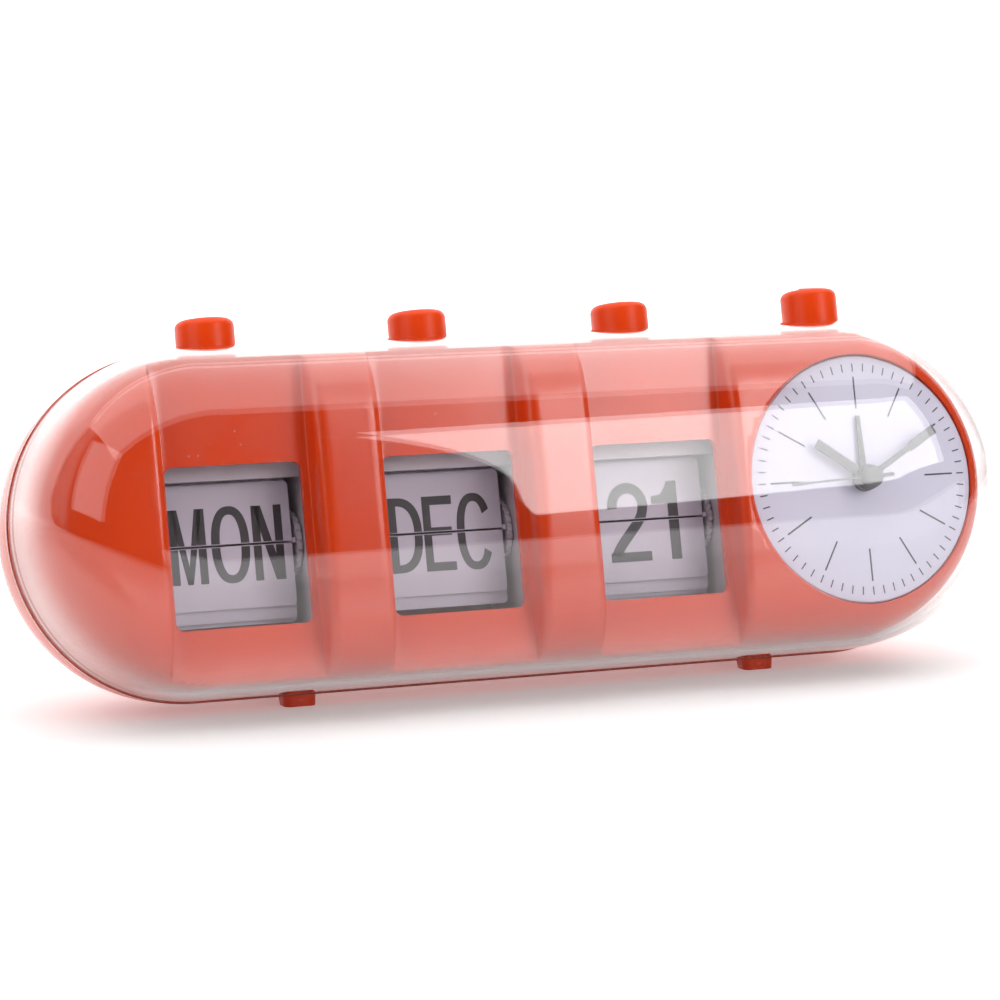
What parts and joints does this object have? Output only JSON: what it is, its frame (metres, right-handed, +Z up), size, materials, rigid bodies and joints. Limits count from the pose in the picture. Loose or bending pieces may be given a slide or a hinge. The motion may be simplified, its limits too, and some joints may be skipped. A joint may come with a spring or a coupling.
{
  "type": "flip number clock",
  "caption": "Desk clock in a long capsule case with a clear domed front, flip cards for day, month and date, a round alarm dial and push buttons on top.",
  "frame": {"origin": "on the table, under the middle of the clock's bounding box", "axes": "+Z up, +X to the clock's right as seen by a person reading it, -Y towards that person"},
  "size_m": [0.2486, 0.0888, 0.0942],
  "materials": {
    "orange_shell": "glossy moulded orange",
    "orange_button": "satin moulded orange",
    "clear_cover": "clear glossy polymer",
    "unit_grey": "pale grey moulded",
    "leaf_white": "satin white card with black print",
    "dial_white": "satin white with thin grey marks",
    "hand_grey": "satin grey",
    "steel": "bright drawn wire",
    "brass": "plain",
    "black_plastic": "fine matt grain",
    "gear_white": "natural moulded",
    "copper": "lacquered winding",
    "board_green": "coated board",
    "cell_jacket": "plain printed sleeve"
  },
  "bodies": {
    "case": {"rear_shell": "orange_shell", "front_cover": "clear_cover", "front_fascia": "orange_shell", "case_screws": "steel", "battery_cell": "cell_jacket", "battery_plus_contact": "brass", "battery_minus_spring": "steel", "drum_axles": "steel", "detent_springs": "steel", "alarm_bracket": "unit_grey", "dial_plate": "dial_white", "movement_base": "black_plastic", "movement_lid": "black_plastic", "motor_stator": "steel", "motor_coil": "copper", "circuit_board": "board_green", "buzzer": "brass", "alarm_button_spring": "steel", "day_frame": "unit_grey", "day_waiting_leaves": "leaf_white", "day_fallen_leaves": "leaf_white", "day_button_spring": "steel", "month_frame": "unit_grey", "month_waiting_leaves": "leaf_white", "month_fallen_leaves": "leaf_white", "month_button_spring": "steel", "date_frame": "unit_grey", "date_waiting_leaves": "leaf_white", "date_fallen_leaves": "leaf_white", "date_button_spring": "steel"},
    "day_press": {"day_button": "orange_button", "day_push_rod": "unit_grey"},
    "day_rotor": {"day_drum": "unit_grey"},
    "day_flap": {"day_falling_leaf": "leaf_white"},
    "month_press": {"month_button": "orange_button", "month_push_rod": "unit_grey"},
    "month_rotor": {"month_drum": "unit_grey"},
    "month_flap": {"month_falling_leaf": "leaf_white"},
    "date_press": {"date_button": "orange_button", "date_push_rod": "unit_grey"},
    "date_rotor": {"date_drum": "unit_grey"},
    "date_flap": {"date_falling_leaf": "leaf_white"},
    "alarm_press": {"alarm_button": "orange_button"},
    "door": {"battery_door": "orange_shell"},
    "second_train": {"second_hand": "hand_grey", "second_wheel": "gear_white"},
    "minute_train": {"minute_hand": "hand_grey", "minute_wheel": "brass"},
    "hour_train": {"hour_hand": "hand_grey", "hour_wheel": "gear_white"},
    "third_train": {"third_wheel": "gear_white"},
    "motion_train": {"motion_wheel": "gear_white"},
    "transfer_train": {"transfer_wheel": "gear_white"},
    "rotor_train": {"motor_rotor": "steel"},
    "time_setting": {"time_knob": "black_plastic"},
    "alarm_setting": {"alarm_knob": "black_plastic"},
    "alarm_train": {"alarm_hand": "hand_grey", "alarm_wheel": "gear_white"}
  },
  "joints": [
    {"name": "day_button_press", "type": "slide", "parent": "case", "child": "day_press", "axis": [0, -0.225, -0.9744], "range_m": [0, 0.003], "stiffness_N_per_m": 250, "springref_m": -0.002, "deforming": ["day_button_spring"]},
    {"name": "day_drum_step", "type": "hinge", "parent": "case", "child": "day_rotor", "pos_m": [-0.0754, -0.0035, 0.03838], "axis": [1, 0, 0], "range_deg": [0, 17.14]},
    {"name": "day_leaf_fall", "type": "hinge", "parent": "case", "child": "day_flap", "pos_m": [-0.0754, -0.01071, 0.04005], "axis": [1, 0, 0], "range_deg": [0, 178]},
    {"name": "month_button_press", "type": "slide", "parent": "case", "child": "month_press", "axis": [0, -0.225, -0.9744], "range_m": [0, 0.003], "stiffness_N_per_m": 250, "springref_m": -0.002, "deforming": ["month_button_spring"]},
    {"name": "month_drum_step", "type": "hinge", "parent": "case", "child": "month_rotor", "pos_m": [-0.0222, -0.0035, 0.03838], "axis": [1, 0, 0], "range_deg": [0, 15]},
    {"name": "month_leaf_fall", "type": "hinge", "parent": "case", "child": "month_flap", "pos_m": [-0.0222, -0.01071, 0.04005], "axis": [1, 0, 0], "range_deg": [0, 178]},
    {"name": "date_button_press", "type": "slide", "parent": "case", "child": "date_press", "axis": [0, -0.225, -0.9744], "range_m": [0, 0.003], "stiffness_N_per_m": 250, "springref_m": -0.002, "deforming": ["date_button_spring"]},
    {"name": "date_drum_step", "type": "hinge", "parent": "case", "child": "date_rotor", "pos_m": [0.031, -0.0035, 0.03838], "axis": [1, 0, 0], "range_deg": [0, 11.61]},
    {"name": "date_leaf_fall", "type": "hinge", "parent": "case", "child": "date_flap", "pos_m": [0.031, -0.01071, 0.04005], "axis": [1, 0, 0], "range_deg": [0, 178]},
    {"name": "alarm_button_press", "type": "slide", "parent": "case", "child": "alarm_press", "axis": [0, -0.225, -0.9744], "range_m": [0, 0.003], "stiffness_N_per_m": 250, "springref_m": -0.002, "deforming": ["alarm_button_spring"]},
    {"name": "battery_door_pull", "type": "slide", "parent": "case", "child": "door", "axis": [0, 0.9744, -0.225], "range_m": [0, 0.02]},
    {"name": "second_turn", "type": "hinge", "parent": "case", "child": "second_train", "pos_m": [0.0845, -0.00076, 0.0436], "axis": [0, 0.9744, -0.225], "continuous": true},
    {"name": "minute_turn", "type": "hinge", "parent": "case", "child": "minute_train", "pos_m": [0.0845, -0.00076, 0.0436], "axis": [0, 0.9744, -0.225], "continuous": true},
    {"name": "hour_turn", "type": "hinge", "parent": "case", "child": "hour_train", "pos_m": [0.0845, -0.00076, 0.0436], "axis": [0, 0.9744, -0.225], "continuous": true},
    {"name": "third_wheel_turn", "type": "hinge", "parent": "case", "child": "third_train", "pos_m": [0.07491, 0.00003, 0.047], "axis": [0, 0.9744, -0.225], "continuous": true},
    {"name": "motion_wheel_turn", "type": "hinge", "parent": "case", "child": "motion_train", "pos_m": [0.08304, -0.00262, 0.03554], "axis": [0, 0.9744, -0.225], "continuous": true},
    {"name": "transfer_wheel_turn", "type": "hinge", "parent": "case", "child": "transfer_train", "pos_m": [0.08283, 0.00137, 0.05281], "axis": [0, 0.9744, -0.225], "continuous": true},
    {"name": "rotor_turn", "type": "hinge", "parent": "case", "child": "rotor_train", "pos_m": [0.07677, 0.00216, 0.05622], "axis": [0, 0.9744, -0.225], "continuous": true},
    {"name": "time_knob_turn", "type": "hinge", "parent": "case", "child": "time_setting", "pos_m": [0.09564, -0.00251, 0.036], "axis": [0, 0.9744, -0.225], "continuous": true},
    {"name": "alarm_knob_turn", "type": "hinge", "parent": "case", "child": "alarm_setting", "pos_m": [0.09214, 0.00096, 0.05104], "axis": [0, 0.9744, -0.225], "continuous": true},
    {"name": "alarm_hand_turn", "type": "hinge", "parent": "case", "child": "alarm_train", "pos_m": [0.0845, -0.00076, 0.0436], "axis": [0, 0.9744, -0.225], "continuous": true}
  ],
  "couplings": [
    {"joint": "day_drum_step", "follows": "day_button_press", "rad_per_m": 99.732},
    {"joint": "day_leaf_fall", "follows": "day_button_press", "rad_per_m": 1035.6},
    {"joint": "month_drum_step", "follows": "month_button_press", "rad_per_m": 87.266},
    {"joint": "month_leaf_fall", "follows": "month_button_press", "rad_per_m": 1035.6},
    {"joint": "date_drum_step", "follows": "date_button_press", "rad_per_m": 67.56},
    {"joint": "date_leaf_fall", "follows": "date_button_press", "rad_per_m": 1035.6},
    {"joint": "minute_turn", "follows": "second_turn", "ratio": 0.016667},
    {"joint": "hour_turn", "follows": "second_turn", "ratio": 0.0013889},
    {"joint": "third_wheel_turn", "follows": "second_turn", "ratio": -0.13333},
    {"joint": "motion_wheel_turn", "follows": "second_turn", "ratio": -0.0055556},
    {"joint": "transfer_wheel_turn", "follows": "second_turn", "ratio": -5},
    {"joint": "rotor_turn", "follows": "second_turn", "ratio": 30},
    {"joint": "time_knob_turn", "follows": "second_turn", "ratio": -0.033333},
    {"joint": "alarm_hand_turn", "follows": "alarm_knob_turn", "ratio": -0.5}
  ]
}
